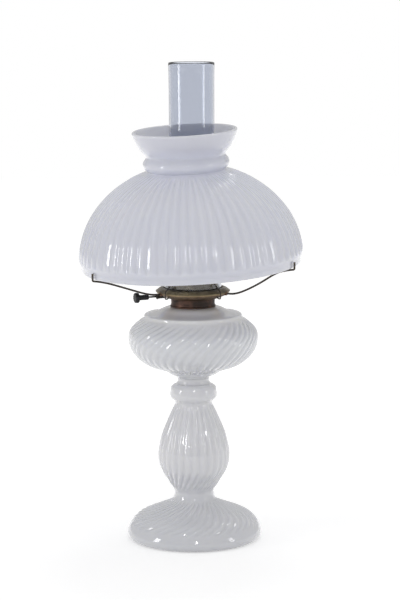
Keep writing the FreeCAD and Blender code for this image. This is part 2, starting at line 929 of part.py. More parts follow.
def bulb_stem():
    waist = point(bulb_stem_radius, between(stem_foot, stem_top, hollow_bend_share))
    low = [point(0, stem_foot), point(bulb_stem_foot_radius, stem_foot)]
    body = turned_flats(low + [waist, point(bulb_stem_radius, stem_top), point(0, stem_top)], wire_sides)
    return body.cut([lead_hole(side) for side in (-1, 1)])


def lead_hole(side):
    foot_point = Vector(side * filament_foot_spread, 0, stem_top - filament_sag)
    line = [foot_point, foot_point + up * (filament_sag + overrun)]
    return bent_wire(line, filament_wire_radius + wire_fit, Vector(0, 1, 0))


def filament():
    """Two leads that stand in the stem, and the bent wire between them."""
    corners = [
        (-filament_foot_spread, stem_top - filament_sag + seat_gap),
        (-filament_foot_spread, stem_top + filament_sag / 2),
        (-filament_spread, stem_top + filament_rise),
        (-filament_spread, stem_top + filament_height),
        (0, stem_top + filament_height - filament_sag),
        (filament_spread, stem_top + filament_height),
        (filament_spread, stem_top + filament_rise),
        (filament_foot_spread, stem_top + filament_sag / 2),
        (filament_foot_spread, stem_top - filament_sag + seat_gap),
    ]
    points = [Vector(across, 0, height) for across, height in corners]
    return bent_wire(points, filament_wire_radius, Vector(0, 1, 0), spring_sides)


def chimney_side(inward):
    low = chimney_foot + chimney_base_height
    high = chimney_foot + chimney_tube_start
    top = chimney_foot + chimney_height
    base = chimney_base_radius - inward
    wall = chimney_tube_radius - inward
    shoulder = outline_points(chimney_shoulder_shares, low, high, wall, base)
    flare = [point(wall, top - chimney_top_flare), point(chimney_top_radius - inward, top)]
    return [point(base, chimney_foot)] + shoulder + flare


def chimney():
    return turned_flats(chimney_side(0) + chimney_side(chimney_wall)[::-1], chimney_sides)


dome_radius = fitter_radius + dome_swell


def dome_points(radius, rise, low, high, shares):
    """Points of an elliptical dome between two heights, at even steps of its curve."""
    start = math.asin((low - dome_centre_height) / rise)
    end = math.asin((high - dome_centre_height) / rise)
    points = []
    for share in shares:
        angle = between(start, end, share)
        points.append(point(radius * math.cos(angle), dome_centre_height + rise * math.sin(angle)))
    return points


def dome_side():
    return dome_points(dome_radius, dome_rise, shade_band_height, dome_top_height, dome_shares)


def shade_hollow():
    radius = dome_radius - shade_wall
    rise = dome_rise - shade_wall
    mouth = fitter_radius - shade_wall
    start = dome_centre_height + rise * math.sqrt(1 - (mouth / radius) ** 2)
    end = dome_centre_height + rise * math.sqrt(1 - (shade_neck_radius / radius) ** 2)
    dome = dome_points(radius, rise, start, end, dome_hollow_shares)
    lip = crown_radius - crown_lip
    crown = outline_points(crown_hollow_shares, bead_head_height, shade_height, shade_neck_radius, lip)
    below = [point(0, -overrun), point(mouth, -overrun)]
    above = [point(lip, shade_height + overrun), point(0, shade_height + overrun)]
    return turned_flats(below + dome + crown + above, hollow_sides)


def shade_band():
    """The rim that the arms hold, and the plain band above it."""
    side = dome_side()[0].x + mould_ledge
    bend = between(fitter_height, shade_band_height, hollow_bend_share)
    return turned_flats(
        [
            centre,
            point(fitter_radius - fitter_lip, 0),
            point(fitter_radius, fitter_lip / 2),
            point(fitter_radius, fitter_height),
            point(between(fitter_radius, side, neck_bend_share), bend),
            point(side, shade_band_height - fitter_lip),
            point(side, shade_band_height),
            point(0, shade_band_height),
        ],
        shade_sides,
    )


def shade_crown():
    """The round bead and the flared crown."""
    base = dome_side()[-1].x - mould_ledge
    bead = outline_points(bead_shares, bead_foot_height, bead_head_height, bead_foot_radius, bead_radius)
    crown = outline_points(crown_shares, bead_head_height, shade_height, bead_head_radius, crown_radius)
    start = [point(0, dome_top_height), point(base, dome_top_height)]
    return turned_flats(start + bead[:-1] + crown + [point(0, shade_height)], shade_sides)


def shade():
    points = dome_side()
    dome = ribbed(rib_levels(points, shade_rib_depth, [0] * len(points)), shade_rib_count)
    body = shade_band().fuse([dome, shade_crown()]).cut(shade_hollow())
    body.Placement = shade_place
    return body


def pieces():
    """Every piece of the lamp, by the name of its file."""
    made = {
        "pedestal": pedestal(),
        "joining_wafer": joining_wafer(),
        "font": font(),
        "collar_cement": collar_cement(),
        "font_collar": font_collar(),
        "burner_body": burner_body(),
        "chimney_gallery": chimney_gallery(),
        "burner_cone": burner_cone(),
        "shaft_bushing": shaft_bushing(),
        "cord_bushing": cord_bushing(),
        "mounting_nipple": mounting_nipple(),
        "nipple_nut": nipple_nut(),
        "socket_cap": socket_cap(),
        "socket_shell": socket_shell(),
        "socket_body": socket_body(),
        "screw_shell": screw_shell(),
        "centre_contact": centre_contact(),
        "switch_shaft": switch_shaft(),
        "switch_knob": switch_knob(),
        "bulb_cap": bulb_cap(),
        "bulb_glass": bulb_glass(),
        "bulb_stem": bulb_stem(),
        "filament": filament(),
        "chimney": chimney(),
        "shade": shade(),
    }
    for number, azimuth in enumerate(spring_azimuths):
        made["chimney_spring_" + str(number + 1)] = chimney_spring(azimuth)
    for side, azimuth in arm_azimuths.items():
        made["shade_arm_" + side] = shade_arm(azimuth)
        made["arm_lug_" + side] = arm_lug(azimuth)
    return made


os.makedirs("parts", exist_ok=True)
for name, shape in pieces().items():
    shape.exportStep("parts/" + name + ".step")
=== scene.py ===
import math

import bmesh
import bpy
from mathutils import Euler, Matrix, Quaternion, Vector


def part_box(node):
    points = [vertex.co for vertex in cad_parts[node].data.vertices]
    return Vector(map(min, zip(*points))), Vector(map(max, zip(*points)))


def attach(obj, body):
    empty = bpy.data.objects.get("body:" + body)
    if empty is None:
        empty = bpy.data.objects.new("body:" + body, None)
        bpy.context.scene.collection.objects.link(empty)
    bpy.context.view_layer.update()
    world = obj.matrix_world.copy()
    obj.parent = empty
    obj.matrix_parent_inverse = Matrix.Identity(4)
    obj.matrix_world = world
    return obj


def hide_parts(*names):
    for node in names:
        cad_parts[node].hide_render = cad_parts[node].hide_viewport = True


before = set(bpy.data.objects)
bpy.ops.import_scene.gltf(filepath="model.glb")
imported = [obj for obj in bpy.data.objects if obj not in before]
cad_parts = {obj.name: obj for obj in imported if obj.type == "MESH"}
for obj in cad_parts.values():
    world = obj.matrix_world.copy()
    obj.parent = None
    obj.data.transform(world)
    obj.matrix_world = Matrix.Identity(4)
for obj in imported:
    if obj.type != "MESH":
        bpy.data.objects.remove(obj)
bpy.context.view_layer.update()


# The camera stands in front of the lamp, a little above its middle, and looks slightly down.
# The picture is tipped by a third of a degree, as the lamp leans in it.
camera_place = (0, -2.470, 0.655)
camera_down = 8.6
camera_right = 0.19
camera_tip = 0.37
lens_length = 129.4

bpy.ops.object.select_all(action="DESELECT")
bpy.ops.object.camera_add(location=camera_place)
camera = bpy.context.object
camera.name = "photo_camera"
camera.data.sensor_fit = "VERTICAL"
camera.data.sensor_height = 36
camera.data.lens = lens_length
camera.data.clip_start = 0.05
camera.data.clip_end = 40
aim = Euler((math.radians(90 - camera_down), 0, math.radians(-camera_right))).to_quaternion()
camera.rotation_mode = "QUATERNION"
camera.rotation_quaternion = aim @ Quaternion((0, 0, 1), math.radians(-camera_tip))
bpy.context.scene.camera = camera
bpy.context.scene.view_settings.view_transform = "Standard"


# The lamp stands on a plain white table top that runs out into a white background.
# What the camera, glass and metal see of it is lifted to white, a little less near the lamp, where
# the soft boxes also light it, so that the lamp's shadow stays on it.
table_width = 9.0
table_colour = (0.86, 0.86, 0.86, 1)
near_distance = 0.15
far_distance = 1.6
near_lift = 0.40
far_lift = 0.50

bpy.ops.object.select_all(action="DESELECT")
bpy.ops.mesh.primitive_plane_add(size=table_width, location=(0, 0, 0))
table_top = bpy.context.object
table_top.name = "table_top"
white_table = bpy.data.materials.new("white table")
white_table.use_nodes = True
nodes, links = white_table.node_tree.nodes, white_table.node_tree.links
cloth = nodes["Principled BSDF"]
cloth.inputs["Base Color"].default_value = table_colour
cloth.inputs["Roughness"].default_value = 0.9
cloth.inputs["Specular IOR Level"].default_value = 0.1
glow = nodes.new("ShaderNodeEmission")
path = nodes.new("ShaderNodeLightPath")
seen = nodes.new("ShaderNodeMath")
seen.operation = "MAXIMUM"
links.new(path.outputs["Is Camera Ray"], seen.inputs[0])
links.new(path.outputs["Is Glossy Ray"], seen.inputs[1])
through = nodes.new("ShaderNodeMath")
through.operation = "MAXIMUM"
links.new(seen.outputs[0], through.inputs[0])
links.new(path.outputs["Is Transmission Ray"], through.inputs[1])
table_place = nodes.new("ShaderNodeTexCoord")
away = nodes.new("ShaderNodeVectorMath")
away.operation = "LENGTH"
links.new(table_place.outputs["Object"], away.inputs[0])
lift_at = nodes.new("ShaderNodeMapRange")
lift_at.inputs["From Min"].default_value = near_distance
lift_at.inputs["From Max"].default_value = far_distance
lift_at.inputs["To Min"].default_value = near_lift
lift_at.inputs["To Max"].default_value = far_lift
links.new(away.outputs["Value"], lift_at.inputs["Value"])
lift = nodes.new("ShaderNodeMath")
lift.operation = "MULTIPLY"
links.new(lift_at.outputs["Result"], lift.inputs[1])
links.new(through.outputs[0], lift.inputs[0])
links.new(lift.outputs[0], glow.inputs["Strength"])
both = nodes.new("ShaderNodeAddShader")
links.new(cloth.outputs[0], both.inputs[0])
links.new(glow.outputs[0], both.inputs[1])
links.new(both.outputs[0], nodes["Material Output"].inputs["Surface"])
table_top.data.materials.append(white_table)


# Even studio light: a pale room all round, two low upright soft boxes far out at the sides,
# which draw the bright streaks on ribs and chimney, a narrow tall one above the camera and a
# soft one high behind.
room_strength = 0.595
seen_strength = 1.0

room = bpy.context.scene.world or bpy.data.worlds.new("room")
bpy.context.scene.world = room
room.name = "pale room"
room.use_nodes = True
nodes, links = room.node_tree.nodes, room.node_tree.links
nodes.clear()
pale = nodes.new("ShaderNodeBackground")
pale.inputs["Color"].default_value = (1, 1, 1, 1)
path = nodes.new("ShaderNodeLightPath")
seen = nodes.new("ShaderNodeMath")
seen.operation = "MAXIMUM"
links.new(path.outputs["Is Camera Ray"], seen.inputs[0])
links.new(path.outputs["Is Transmission Ray"], seen.inputs[1])
strength = nodes.new("ShaderNodeMapRange")
strength.inputs["To Min"].default_value = room_strength
strength.inputs["To Max"].default_value = seen_strength
links.new(seen.outputs[0], strength.inputs["Value"])
links.new(strength.outputs[0], pale.inputs["Strength"])
out = nodes.new("ShaderNodeOutputWorld")
links.new(pale.outputs[0], out.inputs["Surface"])


def soft_box(name, place, target, width, height, power):
    """A flat soft lamp that faces a point."""
    bpy.ops.object.light_add(type="AREA", location=place)
    box = bpy.context.object
    box.name = name
    box.data.shape = "RECTANGLE"
    box.data.size = width
    box.data.size_y = height
    box.data.energy = power
    box.rotation_euler = (Vector(target) - Vector(place)).to_track_quat("-Z", "Y").to_euler()
    return box


soft_box("soft_box_left", (-2.41, -0.97, 0.78), (0, 0, 0.35), 0.4, 1.05, 9)
soft_box("soft_box_right", (2.4, -1.02, 0.78), (0, 0, 0.35), 0.4, 1.05, 4.5)
soft_box("tall_front_lamp", (0.15, -2.6, 1.2), (0, 0, 0.3), 0.14, 1.0, 5.5)
soft_box("high_back_lamp", (0.2, 0.9, 2.3), (0, 0, 0.4), 0.7, 0.7, 5)


# The foot and stem are one pressing of opal glass, hollow from below. The foot has swirled
# ribs up to its neck, and the pear of the stem has ribs that swirl only near their feet.
mm = 0.001
foot_outline = [
    (0, 44.5), (12, 43.2), (19, 39), (29, 34.5), (39.2, 30.5), (51, 23.5), (60.5, 14), (64.6, 5), (66.2, 0.8),
    (68.8, 0), (71.5, 0.3), (74.9, 1.3), (77.0, 3.2), (78.2, 6), (78.5, 9), (77.9, 12), (76.3, 15.6), (74.7, 18.2),
    (73.4, 20), (71.6, 22.6), (69.4, 25), (66.2, 27.6), (62, 30), (56, 32.5), (49.4, 35), (44.4, 37), (39.6, 39),
    (35.8, 40.6), (32.1, 42.1), (28.7, 43.7), (26.2, 45.4), (24.6, 47.4), (23.7, 49.6), (23.0, 52), (22.7, 55),
]
foot_ribs = 36
foot_swirl = 46.0
foot_rib_low = 19.0
foot_rib_high = 46.5
foot_rib_depth = 1.0
foot_tread = foot_outline[10:]
stem_outline = [
    (22.75, 55.4), (23.05, 57.4), (23.9, 59.2), (24.9, 61), (26, 62.8), (27.3, 64.4), (28.5, 66.4), (29.6, 68.5),
    (31, 71), (32.7, 73.2), (34.4, 76), (36.6, 79.4), (38.3, 83.2), (39.7, 87), (40.6, 91), (41.2, 95), (41.4, 98.5),
    (41.35, 102), (41.1, 105.7), (40.5, 109), (39.8, 113), (38.6, 118), (37.3, 123), (35.9, 127.5), (34.2, 131.6),
    (32.5, 135.6), (30.6, 140), (28.8, 144.2), (26.9, 148.6), (25.0, 152.4), (23.3, 156), (22.0, 159.2),
    (21.3, 161.4), (21.7, 163.4), (23.6, 165), (26.1, 166.9), (27.4, 169.6), (27.4, 172.8), (26.8, 176), (26.6, 179),
    (25.2, 181), (22.8, 182.5), (20.7, 183.5), (19.95, 183.9), (19.75, 184), (19.4, 184), (12, 184), (0, 184),
]
stem_ribs = 28
stem_swirl = 22.0
stem_rib_low = 61.5
stem_rib_high = 158.5
stem_swirl_high = 90.0
stem_rib_depth = 1.15
stem_side = stem_outline[:-3]
rib_columns = 4
groove_move = -1.2
crest_move = 0.3
least_turn = 0.001


def turned(name, outline, steps):
    """A point drawn out along an outline of radius and height, then spun round the lamp's axis."""
    bpy.ops.object.select_all(action="DESELECT")
    radius, height = outline[0]
    bpy.ops.mesh.primitive_plane_add(size=mm, location=(radius * mm, 0, height * mm))
    piece = bpy.context.object
    piece.name = name
    bpy.ops.object.transform_apply(location=True)
    bpy.ops.object.mode_set(mode="EDIT")
    bpy.ops.mesh.select_mode(type="VERT")
    bpy.ops.mesh.select_all(action="SELECT")
    bpy.ops.mesh.merge(type="CENTER")
    for first, last in zip(outline, outline[1:]):
        step = ((last[0] - first[0]) * mm, 0, (last[1] - first[1]) * mm)
        bpy.ops.mesh.extrude_vertices_move(TRANSFORM_OT_translate={"value": step})
    bpy.ops.mesh.select_all(action="SELECT")
    bpy.ops.mesh.spin(steps=steps, angle=math.tau, center=(0, 0, 0), axis=(0, 0, 1))
    bpy.ops.mesh.select_all(action="SELECT")
    bpy.ops.mesh.remove_doubles(threshold=0.01 * mm)
    bpy.ops.mesh.normals_make_consistent(inside=False)
    bpy.ops.object.mode_set(mode="OBJECT")
    return piece


def pick(rule):
    """Selects the points of the piece in edit mode that a rule of place and facing names."""
    bpy.ops.mesh.select_all(action="DESELECT")
    mesh = bmesh.from_edit_mesh(bpy.context.object.data)
    for vert in mesh.verts:
        vert.select = rule(vert.co, vert.normal)
    mesh.select_flush(True)
    bmesh.update_edit_mesh(bpy.context.object.data)


def on_outside(place, facing):
    """Whether a point faces away from the lamp's axis."""
    return facing.x * place.x + facing.y * place.y > 0


def on_column(place, count, offset):
    """Whether a point lies on the same column of each rib."""
    share = math.atan2(place.y, place.x) / math.tau * count * rib_columns
    return round(share) % rib_columns == offset


def take_up(piece):
    """Makes a piece the active one and the only one selected."""
    bpy.ops.object.select_all(action="DESELECT")
    bpy.context.view_layer.objects.active = piece
    piece.select_set(True)


def press_ribs(piece, count, low, high, depth):
    """Draws the grooves in and the crests out a little, between two heights."""
    take_up(piece)
    bpy.ops.object.mode_set(mode="EDIT")
    for offset, move in ((0, groove_move), (rib_columns // 2, crest_move)):
        pick(
            lambda place, facing: low * mm < place.z < high * mm
            and on_outside(place, facing)
            and on_column(place, count, offset)
        )
        bpy.ops.transform.shrink_fatten(value=depth * move * mm)
    bpy.ops.object.mode_set(mode="OBJECT")


def swirl(piece, outline, turn_at):
    """Turns the outside above each point of an outline by the turn that its height asks for."""
    take_up(piece)
    bpy.ops.object.mode_set(mode="EDIT")
    for below, above in zip(outline, outline[1:]):
        turn = turn_at(above[1]) - turn_at(below[1])
        if abs(turn) < least_turn:
            continue
        edge = (below[1] + above[1]) / 2 * mm
        pick(lambda place, facing: place.z > edge and on_outside(place, facing))
        bpy.ops.transform.rotate(value=-math.radians(turn), orient_axis="Z", center_override=(0, 0, 0))
    bpy.ops.object.mode_set(mode="OBJECT")


def share_between(value, low, high):
    """How far a value lies between two others, from 0 to 1."""
    return min(max((value - low) / (high - low), 0), 1)


def smoothed(piece):
    """Finishes a piece with one round of subdivision and smooth shading."""
    take_up(piece)
    rounding = piece.modifiers.new("rounding", "SUBSURF")
    rounding.levels = 1
    rounding.render_levels = 1
    bpy.ops.object.modifier_apply(modifier=rounding.name)
    bpy.ops.object.shade_smooth()
    return piece


def joined(name, *pieces):
    """Several meshes as one piece."""
    bpy.ops.object.select_all(action="DESELECT")
    for piece in pieces:
        piece.select_set(True)
    bpy.context.view_layer.objects.active = pieces[0]
    bpy.ops.object.join()
    pieces[0].name = name
    return pieces[0]


def sockets(group, kind, names):
    """Named sockets of a node group, with the values they start from."""
    for name, value in names.items():
        colour = isinstance(value, tuple)
        socket_type = "NodeSocketColor" if colour else "NodeSocketFloat"
        socket = group.interface.new_socket(name=name, in_out=kind, socket_type=socket_type)
        if kind == "INPUT":
            socket.default_value = value


def make_cloudy_patches():
    """Soft patches and fine specks, fixed to the piece."""
    group = bpy.data.node_groups.new("cloudy patches", "ShaderNodeTree")
    sockets(group, "INPUT", {"Patches per Metre": 30.0, "Specks per Metre": 900.0, "Patch Edge": 0.5})
    sockets(group, "OUTPUT", {"Patches": 0.0, "Specks": 0.0})
    edge_width = 0.16
    nodes, links = group.nodes, group.links
    start, end = nodes.new("NodeGroupInput"), nodes.new("NodeGroupOutput")
    place = nodes.new("ShaderNodeTexCoord")
    patches = nodes.new("ShaderNodeTexNoise")
    patches.inputs["Detail"].default_value = 4
    patches.inputs["Roughness"].default_value = 0.6
    specks = nodes.new("ShaderNodeTexNoise")
    specks.inputs["Detail"].default_value = 3
    links.new(place.outputs["Object"], patches.inputs["Vector"])
    links.new(place.outputs["Object"], specks.inputs["Vector"])
    links.new(start.outputs["Patches per Metre"], patches.inputs["Scale"])
    links.new(start.outputs["Specks per Metre"], specks.inputs["Scale"])
    edge = nodes.new("ShaderNodeMapRange")
    edge.interpolation_type = "SMOOTHSTEP"
    low = nodes.new("ShaderNodeMath")
    low.operation = "SUBTRACT"
    low.inputs[1].default_value = edge_width
    links.new(start.outputs["Patch Edge"], low.inputs[0])
    high = nodes.new("ShaderNodeMath")
    high.operation = "ADD"
    high.inputs[1].default_value = edge_width
    links.new(start.outputs["Patch Edge"], high.inputs[0])
    links.new(patches.outputs["Fac"], edge.inputs["Value"])
    links.new(low.outputs[0], edge.inputs["From Min"])
    links.new(high.outputs[0], edge.inputs["From Max"])
    links.new(edge.outputs["Result"], end.inputs["Patches"])
    links.new(specks.outputs["Fac"], end.inputs["Specks"])
    return group


cloudy_patches = make_cloudy_patches()


def use_group(nodes, group, values):
    """A shared effect in a material, with its own values."""
    node = nodes.new("ShaderNodeGroup")
    node.node_tree = group
    for name, value in values.items():
        node.inputs[name].default_value = value
    return node


def blend_colours(nodes, links, mask, first, last):
    """A colour that runs from the first to the last with a mask."""
    mix = nodes.new("ShaderNodeMix")
    mix.data_type = "RGBA"
    mix.inputs[6].default_value = (*first, 1)
    mix.inputs[7].default_value = (*last, 1)
    links.new(mask, mix.inputs[0])
    return mix.outputs[2]


def blend_values(nodes, links, mask, first, last):
    """A value that runs from the first to the last with a mask."""
    span = nodes.new("ShaderNodeMapRange")
    span.inputs["To Min"].default_value = first
    span.inputs["To Max"].default_value = last
    links.new(mask, span.inputs["Value"])
    return span.outputs["Result"]


def bump_from(nodes, links, height, distance, strength=1.0):
    """A normal that follows small heights."""
    bump = nodes.new("ShaderNodeBump")
    bump.inputs["Distance"].default_value = distance
    bump.inputs["Strength"].default_value = strength
    links.new(height, bump.inputs["Height"])
    return bump.outputs["Normal"]


def opal_glass(name, colour_below, colour_above, painted_shading_from, painted_shading_to, milkiness=0.6, depth=5.0):
    """Milky pressed glass with the soft waves of its mould, whose colour runs to another between two heights as
    painted light or shade.
    """
    material = bpy.data.materials.new(name)
    material.use_nodes = True
    nodes, links = material.node_tree.nodes, material.node_tree.links
    glass = nodes["Principled BSDF"]
    mould_waves = {"Patches per Metre": 18, "Specks per Metre": 260, "Patch Edge": 0.5}
    clouds = use_group(nodes, cloudy_patches, mould_waves)
    place = nodes.new("ShaderNodeTexCoord")
    split = nodes.new("ShaderNodeSeparateXYZ")
    links.new(place.outputs["Object"], split.inputs[0])
    # Between the two heights the colour runs from the one below to the one above. This is painted light or shade,
    # standing for how the light falls on the piece.
    rise = nodes.new("ShaderNodeMapRange")
    rise.interpolation_type = "SMOOTHSTEP"
    rise.inputs["From Min"].default_value = painted_shading_from * mm
    rise.inputs["From Max"].default_value = painted_shading_to * mm
    links.new(split.outputs["Z"], rise.inputs["Value"])
    tint = blend_colours(nodes, links, rise.outputs["Result"], colour_below, colour_above)
    milk = nodes.new("ShaderNodeMix")
    milk.data_type = "RGBA"
    milk.blend_type = "MULTIPLY"
    milk.inputs[0].default_value = 1.0
    cloud = blend_colours(nodes, links, clouds.outputs["Patches"], (0.97, 0.975, 0.985), (1, 1, 1))
    links.new(tint, milk.inputs[6])
    links.new(cloud, milk.inputs[7])
    links.new(milk.outputs[2], glass.inputs["Base Color"])
    links.new(blend_values(nodes, links, clouds.outputs["Specks"], 0.06, 0.14), glass.inputs["Roughness"])
    glass.inputs["IOR"].default_value = 1.5
    glass.inputs["Subsurface Weight"].default_value = milkiness
    glass.inputs["Subsurface Radius"].default_value = (1.0, 1.0, 0.9)
    glass.inputs["Subsurface Scale"].default_value = depth * mm
    glass.inputs["Coat Weight"].default_value = 0.9
    glass.inputs["Coat Roughness"].default_value = 0.04
    links.new(bump_from(nodes, links, clouds.outputs["Specks"], 0.05 * mm), glass.inputs["Normal"])
    return material


# Foot and stem are the same glass. The foot's darker colour, run into the stem's between 30 and 80 mm, is painted
# shade.
foot_milk_painted_shade = (0.72, 0.725, 0.755)
stem_milk = (0.785, 0.785, 0.81)
foot_glass = opal_glass("opal glass of foot", foot_milk_painted_shade, stem_milk, 30, 80)

foot = turned("foot", foot_outline, foot_ribs * rib_columns)
press_ribs(foot, foot_ribs, foot_rib_low, foot_rib_high, foot_rib_depth)
swirl(foot, foot_tread, lambda height: foot_swirl * share_between(height, foot_rib_low, foot_rib_high))
stem = turned("stem", stem_outline, stem_ribs * rib_columns)
press_ribs(stem, stem_ribs, stem_rib_low, stem_rib_high, stem_rib_depth)
swirl(
    stem,
    stem_side,
    lambda height: stem_swirl * (1 - (1 - share_between(height, stem_rib_low, stem_swirl_high)) ** 2),
)
pedestal = joined("foot_and_stem", foot, stem)
bpy.ops.object.mode_set(mode="EDIT")
bpy.ops.mesh.select_mode(type="EDGE")
bpy.ops.mesh.select_all(action="DESELECT")
bpy.ops.mesh.select_non_manifold(extend=False)
bpy.ops.mesh.bridge_edge_loops()
bpy.ops.mesh.select_all(action="SELECT")
bpy.ops.mesh.normals_make_consistent(inside=False)
bpy.ops.object.mode_set(mode="OBJECT")
smoothed(pedestal)
pedestal.data.materials.append(foot_glass)
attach(pedestal, "base")
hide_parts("pedestal")


# The wafer is a gather of the same opal glass, pressed to a waisted disc. It joins stem and font
# while all three are hot.
wafer_outline = [
    (0, 184), (12, 184), (19.3, 184), (19.7, 184.02), (19.7, 184.3), (19.2, 185.2), (18.6, 186.3), (18.2, 187.4),
    (18.2, 188.6), (18.4, 189.8), (18.75, 190.75), (18.8, 190.97), (18.4, 191), (12, 191), (0, 191),
]
wafer = smoothed(turned("wafer", wafer_outline, 112))
wafer.data.materials.append(foot_glass)
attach(wafer, "base")
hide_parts("joining_wafer")


# The font is a squat bowl of opal glass, blown into a ribbed mould and turned as it left it,
# so its ribs start upright and swirl more and more towards the plain shoulder.
font_outline = [
    (0, 191), (12, 191), (18.4, 191), (18.8, 191.03), (19.0, 191.3), (20.6, 192.8), (23.4, 194.2), (26.8, 195.4),
    (29.2, 197), (30.8, 198.6), (33.2, 200), (38.1, 202), (44.8, 204), (50.6, 206), (54.8, 208), (57.9, 210),
    (61.4, 212.4), (64.4, 215), (66.8, 217.5), (68.9, 220.2), (70.9, 223), (72.5, 226), (73.7, 229), (74.5, 232),
    (75.0, 235), (75.2, 238), (75.1, 241), (74.6, 244), (73.6, 246.6), (72.0, 249), (70.2, 251), (68.1, 253),
    (65.9, 255), (63.5, 257), (61.2, 258.7), (59.2, 260.3), (57.6, 261.8), (56.9, 263.2), (56.7, 264.6),
    (56.0, 265.7), (53.6, 266.4), (48.6, 267.4), (43.4, 268.5), (39.0, 270), (35.6, 272), (31.6, 273.6),
    (27.0, 274.3), (24.0, 274.5), (23.2, 275.2), (23.2, 278),
]
font_ribs = 42
font_swirl = 37.0
font_swirl_growth = 2.2
font_rib_depth = 0.9
font_rib_low = 199.4
font_rib_high = 259.0
font_wall = 4.0

font = turned("font_bowl", font_outline, font_ribs * rib_columns)
press_ribs(font, font_ribs, font_rib_low, font_rib_high, font_rib_depth)
swirl(
    font,
    font_outline,
    lambda height: font_swirl * share_between(height, font_rib_low, font_rib_high) ** font_swirl_growth,
)


def walled(piece, thickness):
    """Gives an open shell the thickness of its wall, inwards."""
    take_up(piece)
    wall = piece.modifiers.new("wall", "SOLIDIFY")
    wall.thickness = thickness * mm
    wall.offset = -1
    bpy.ops.object.modifier_apply(modifier=wall.name)
    return piece


# The font's glass turns lighter and warmer towards the shoulder between 240 and 268 mm. The lightening is painted
# light on the shoulder, which lies in the shadow of the shade above.
cool_milk = (0.77, 0.78, 0.81)
shoulder_milk_painted_light = (0.93, 0.92, 0.89)
smoothed(walled(font, font_wall))
font.data.materials.append(opal_glass("opal glass of font", cool_milk, shoulder_milk_painted_light, 240, 268, depth=2.5))
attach(font, "base")
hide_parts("font")


# The collar is a turned ring of copper-brown brass, cemented over the font's neck with plaster.
# The burner screws down into it.
collar_outline = [
    (24.6, 274.5), (25.9, 274.45), (26.4, 274.9), (26.4, 275.8), (25.8, 276.4), (25.4, 276.9), (25.4, 278.6),
    (25.15, 278.9), (25.15, 279.3), (25.4, 279.6), (25.4, 282.6), (25.2, 282.9), (25.2, 283.2), (25.5, 283.4),
    (25.5, 284.0), (25.2, 284.2), (22.4, 284.2), (22.2, 284.0), (22.2, 278.1), (24.6, 278.1),
]


def make_worn_edges():
    """A mask of the edges that hands have rubbed."""
    group = bpy.data.node_groups.new("worn edges", "ShaderNodeTree")
    sockets(group, "INPUT", {"From": 0.52, "To": 0.6})
    sockets(group, "OUTPUT", {"Worn": 0.0})
    nodes, links = group.nodes, group.links
    start, end = nodes.new("NodeGroupInput"), nodes.new("NodeGroupOutput")
    shape = nodes.new("ShaderNodeNewGeometry")
    edge = nodes.new("ShaderNodeMapRange")
    edge.interpolation_type = "SMOOTHSTEP"
    links.new(shape.outputs["Pointiness"], edge.inputs["Value"])
    links.new(start.outputs["From"], edge.inputs["From Min"])
    links.new(start.outputs["To"], edge.inputs["From Max"])
    links.new(edge.outputs["Result"], end.inputs["Worn"])
    return group


worn_edges = make_worn_edges()


def old_metal(name, dark, light, worn, smooth, rough, patches, metallic=1.0):
    """Tarnished metal: dark and lighter patches, rubbed edges and fine pitting."""
    material = bpy.data.materials.new(name)
    material.use_nodes = True
    nodes, links = material.node_tree.nodes, material.node_tree.links
    metal = nodes["Principled BSDF"]
    tarnish_size = {"Patches per Metre": patches, "Specks per Metre": 2400, "Patch Edge": 0.5}
    age = use_group(nodes, cloudy_patches, tarnish_size)
    rubbed = use_group(nodes, worn_edges, {"From": 0.52, "To": 0.58})
    tarnish = blend_colours(nodes, links, age.outputs["Patches"], dark, light)
    bright = nodes.new("ShaderNodeMix")
    bright.data_type = "RGBA"
    bright.inputs[7].default_value = (*worn, 1)
    links.new(rubbed.outputs["Worn"], bright.inputs[0])
    links.new(tarnish, bright.inputs[6])
    links.new(bright.outputs[2], metal.inputs["Base Color"])
    links.new(blend_values(nodes, links, age.outputs["Patches"], rough, smooth), metal.inputs["Roughness"])
    metal.inputs["Metallic"].default_value = metallic
    links.new(bump_from(nodes, links, age.outputs["Specks"], 0.02 * mm, 0.2), metal.inputs["Normal"])
    return material


copper_brown = old_metal(
    "copper brown brass", (0.05, 0.04, 0.036), (0.17, 0.092, 0.068), (0.3, 0.19, 0.13), 0.34, 0.55, 40
)
collar = smoothed(turned("collar", collar_outline + collar_outline[:1], 96))
collar.data.materials.append(copper_brown)
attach(collar, "base")
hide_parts("font_collar")

plaster = bpy.data.materials.new("collar plaster")
plaster.use_nodes = True
nodes, links = plaster.node_tree.nodes, plaster.node_tree.links
grain = use_group(nodes, cloudy_patches, {"Patches per Metre": 400, "Specks per Metre": 3000, "Patch Edge": 0.5})
chalk = nodes["Principled BSDF"]
links.new(
    blend_colours(nodes, links, grain.outputs["Patches"], (0.66, 0.62, 0.53), (0.76, 0.73, 0.66)),
    chalk.inputs["Base Color"],
)
chalk.inputs["Roughness"].default_value = 0.9
links.new(bump_from(nodes, links, grain.outputs["Specks"], 0.1 * mm), chalk.inputs["Normal"])


def carried_over(name, material):
    """A node of the frame that stays in sight, in a material of its own."""
    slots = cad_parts[name].data.materials
    slots.clear()
    slots.append(material)


carried_over("collar_cement", plaster)


